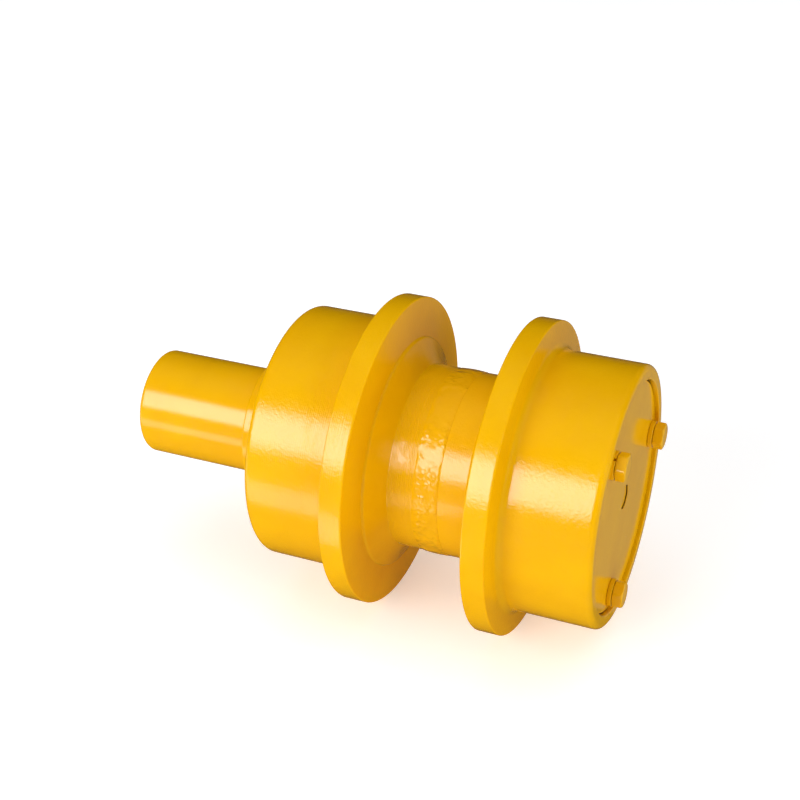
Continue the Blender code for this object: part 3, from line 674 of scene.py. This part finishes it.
def split_ring(corners, gap_angle, steps, place, spread=0.0):
    """A bmesh ring round Y with a gap left open. Its two ends stand apart along the axis by spread."""
    bm = bmesh.new()
    sweep = 2 * pi - gap_angle
    points = section(corners, ring=False)
    made = []
    for step in range(steps + 1):
        a, lift = sweep * step / steps, spread * (step / steps - 0.5)
        made.append([bm.verts.new((r * sin(a), along + lift, r * cos(a))) for along, r in points])
    for low, high in zip(made, made[1:]):
        for n in range(len(points)):
            after = (n + 1) % len(points)
            bm.faces.new((low[n], low[after], high[after], high[n]))
    for end in (made[0], made[-1]):
        bm.faces.new(end)
    bmesh.ops.transform(bm, matrix=place, verts=bm.verts)
    return bm


for number in range(bolt_count):
    stand = bolt_stand(number) @ Matrix.Translation((0, cover_face, 0))
    shape = split_ring([(0.0002, washer_bore), (0.0034, washer_bore), (0.0034, washer_r, 0.0005),
                        (0.0001, washer_r, 0.0005)], radians(12), 64, stand, spread=0.0001)
    washer = from_bmesh(f"cover_spring_washer_{number + 1}", shape, enamel_on_bolts)
    dress(washer, "roller", f"cover_spring_washer_{number + 1}", slot="fastener_paint")


# ---- Bearings, seal and nut ----
# The working parts inside the shell: ground steel bearings, a floating seal with two rubber torics, and the nut
# and lock washer that set the bearings. They are clean and oiled, and are never painted.

def bare_steel(name, colour, rough, grain=0.12, rings=0.000003):
    """Oiled steel with the lathe's or the grinder's fine rings, and a few dull patches."""
    made, draw, here = start_material(name)
    round_lines = draw.noise(draw.along_only(here), 5200.0, 2.0)
    patch = draw.noise(here, 90.0, 3.0, 0.6)
    dark = tuple(c * 0.72 for c in colour)
    shade = (round_lines * 0.45 + patch * 0.55).ease(0.30, 0.70).blend(dark, colour)
    facing = draw.raised(round_lines, rings)
    facing = draw.raised(draw.noise(here, 700.0, 3.0), 0.000004, facing)
    return surface(made, {"Base Color": shade, "Roughness": rough + patch * grain, "Normal": facing}, Metallic=1.0)


def rubber(name, rough):
    """Moulded black nitrile with a faint bloom and fine grain."""
    made, draw, here = start_material(name)
    bloom = draw.noise(here, 120.0, 4.0, 0.6).ease(0.45, 0.75)
    shade = bloom.blend((0.012, 0.012, 0.012), (0.030, 0.029, 0.027))
    facing = draw.raised(draw.noise(here, 2400.0, 2.0), 0.000008)
    return surface(made, {"Base Color": shade, "Roughness": rough + bloom * 0.15, "Normal": facing})


slot_finish = {
    "bearing_steel": bare_steel("ground bearing steel", (0.60, 0.60, 0.62), 0.14, 0.08, 0.000001),
    "machined_steel": bare_steel("turned steel", (0.50, 0.50, 0.49), 0.24, 0.14, 0.000006),
    "pressed_steel": bare_steel("pressed cage steel", (0.42, 0.41, 0.38), 0.36, 0.16),
    "spring_steel": bare_steel("tempered spring steel", (0.24, 0.25, 0.28), 0.30, 0.14),
    "seal_iron": bare_steel("lapped seal iron", (0.46, 0.46, 0.47), 0.20, 0.10, 0.000001),
    "toric_rubber": rubber("toric rubber", 0.42),
    "o_ring_rubber": rubber("o-ring rubber", 0.38),
}
slot_of = {row["node"]: row["material_slot"] for row in frame["record"]["subparts"]}
for node_name, node in frame["nodes"].items():
    finish = slot_finish.get(slot_of.get(node_name))
    if finish and not node.hide_render:
        node.data.materials.clear()
        node.data.materials.append(finish)


# ---- Studio ----
# A pale floor and backdrop, one big soft window of light, and dim even light from all round. Glowing cards that
# only the reflections see stand in for the room, because the paint would otherwise mirror the bright floor. They
# are painted
# reflections: dim ones on the floor, and one bright strip that puts a painted highlight low on the shell.

def floor_finish():
    made, draw, here = start_material("pale studio floor")
    patch = draw.noise(here, 3.0, 2.0)
    shade = patch.blend((0.88, 0.88, 0.88), (0.90, 0.90, 0.895))
    glow = patch.blend((0.97, 0.97, 0.97), (1.0, 1.0, 0.995))
    return surface(made, {"Base Color": shade, "Emission Color": glow}, Roughness=0.9, Emission_Strength=0.38)


def sheet(name, across, along, height, finish, glossy_only=False):
    """A flat rectangle that faces up. across is its two ends on X, and along its two ends on Y."""
    mesh = bpy.data.meshes.new(name)
    corners = [(across[0], along[0]), (across[1], along[0]), (across[1], along[1]), (across[0], along[1])]
    mesh.from_pydata([(x, y, height) for x, y in corners], [], [(0, 1, 2, 3)])
    mesh.materials.append(finish)
    made = bpy.data.objects.new(name, mesh)
    bpy.context.scene.collection.objects.link(made)
    made.visible_glossy = glossy_only
    if glossy_only:
        made.visible_camera = made.visible_diffuse = made.visible_shadow = made.visible_transmission = False
    return made


def card_finish(name, strength):
    made, draw, here = start_material(name)
    glow = draw.noise(here, 1.5, 2.0).blend((0.92, 0.92, 0.92), (1.0, 1.0, 1.0))
    return surface(made, {"Emission Color": glow}, Base_Color=(0, 0, 0, 1), Roughness=1.0,
                   Specular_IOR_Level=0.0, Emission_Strength=strength)


far, ground = 11.0, -flange_r
sheet("studio_floor", (-far, far), (-far, far), ground, floor_finish())
# Dim glowing cards under the floor, seen only in reflections: painted reflections of a dim room.
sheet("dark_reflection_card", (-4, 4), (-4, 4), ground - 0.002, card_finish("dark reflection card", 0.03), glossy_only=True)
sheet("dim_reflection_card", (-4, -0.02), (0.33, 4), ground - 0.001, card_finish("dim reflection card", 0.14), glossy_only=True)
# A bright glowing strip in front, seen only in reflections: it paints a second, weaker highlight band low on the
# stub and the treads.
sheet("painted_highlight_card", (0.20, 0.38), (-0.70, 0.20), ground - 0.001, card_finish("painted highlight card", 1.6),
      glossy_only=True)


def dome(name, radius, finish):
    """A plain backdrop all round, for the camera only."""
    bm = bmesh.new()
    bmesh.ops.create_uvsphere(bm, u_segments=48, v_segments=24, radius=radius)
    bmesh.ops.reverse_faces(bm, faces=bm.faces)
    mesh = bpy.data.meshes.new(name)
    bm.to_mesh(mesh)
    bm.free()
    mesh.materials.append(finish)
    made = bpy.data.objects.new(name, mesh)
    bpy.context.scene.collection.objects.link(made)
    made.visible_diffuse = made.visible_glossy = made.visible_shadow = made.visible_transmission = False


dome("backdrop", 16.0, card_finish("pale backdrop", 1.03))


def lamp(name, where, aim, size, power):
    """A soft rectangular light that fades towards its edges."""
    light = bpy.data.lights.new(name, "AREA")
    light.shape, light.size, light.size_y = "RECTANGLE", *size
    light.energy = power
    light.use_nodes = True
    draw = Wire(light.node_tree)
    spot = draw.node("ShaderNodeNewGeometry", output=5)
    across = draw.node("ShaderNodeSeparateXYZ", (), {0: spot}, output=0)
    up = draw.node("ShaderNodeSeparateXYZ", (), {0: spot}, output=1)
    fade = (across - across * across) * 4.0
    fade = fade.ease(0.0, 0.55) * ((up - up * up) * 4.0).ease(0.0, 0.65)
    shade = fade.blend((0, 0, 0), (1, 1, 1))
    light.node_tree.links.new(shade.socket, light.node_tree.nodes["Emission"].inputs["Color"])
    made = bpy.data.objects.new(name, light)
    made.location = where
    made.rotation_mode = "QUATERNION"
    made.rotation_quaternion = (Vector(aim) - Vector(where)).to_track_quat("-Z", "Y")
    bpy.context.scene.collection.objects.link(made)
    return made


centre = Vector((0, middle * 0.75, 0))
window_way = Vector((0.83, -0.33, 0.40)).normalized()
lamp("window", centre + window_way * 1.7, centre, (1.45, 1.10), 24.4)


def fill(name, way, strength, spread):
    """Even light from a wide part of the room, towards which way points. It leaves no reflection in the paint."""
    sun = bpy.data.lights.new(name, "SUN")
    sun.energy, sun.angle = strength, radians(spread)
    made = bpy.data.objects.new(name, sun)
    made.rotation_mode = "QUATERNION"
    made.rotation_quaternion = Vector(way).to_track_quat("Z", "Y")
    made.visible_glossy = False
    bpy.context.scene.collection.objects.link(made)


fill("overhead", (0.0, 0.1, 1.0), 0.95, 70)
fill("cover_side", (0.15, 1.0, 0.22), 1.20, 45)

world = bpy.data.worlds.new("studio")
world.use_nodes = True
world.node_tree.nodes["Background"].inputs["Color"].default_value = (0.96, 0.97, 1.0, 1)
world.node_tree.nodes["Background"].inputs["Strength"].default_value = 0.33
world.cycles_visibility.glossy = False
bpy.context.scene.world = world
bpy.context.scene.view_settings.view_transform = "Standard"

camera = bpy.data.objects.new("camera", bpy.data.cameras.new("camera"))
bpy.context.scene.collection.objects.link(camera)
camera.data.lens, camera.data.sensor_width = 67.06, 36.0
round_by, up_by = radians(112.3), radians(29.1)
back = Vector((sin(round_by) * cos(up_by), -cos(round_by) * cos(up_by), sin(up_by)))
camera.location = Vector((-0.0129, 0.1940, 0.0342)) + back * 1.1
camera.rotation_mode = "QUATERNION"
camera.rotation_quaternion = (-back).to_track_quat("-Z", "Y")
bpy.context.scene.camera = camera
